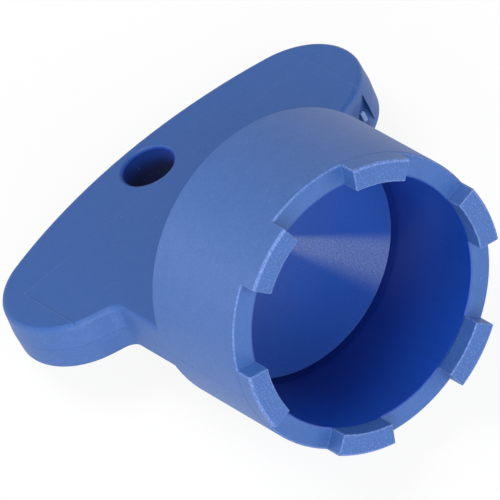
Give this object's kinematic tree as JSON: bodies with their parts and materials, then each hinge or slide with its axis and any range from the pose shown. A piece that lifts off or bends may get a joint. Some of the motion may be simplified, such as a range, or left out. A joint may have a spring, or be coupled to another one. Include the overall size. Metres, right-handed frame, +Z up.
{
  "type": "aerator key",
  "caption": "Small plastic key with a castellated round crown on a flat wing handle with a keyring hole, for unscrewing a recessed tap aerator.",
  "frame": {"origin": "centre of the footprint on the table that the key lies on", "axes": "+Z up; X along the two wings; -Y towards the crown's open mouth, which also points upwards, and +Y towards the handle's back edge"},
  "size_m": [0.033, 0.033, 0.0249],
  "materials": {
    "aerator_key": "satin blue moulded polypropylene"
  },
  "bodies": {
    "root": {"aerator_key": "aerator_key"}
  },
  "joints": []
}
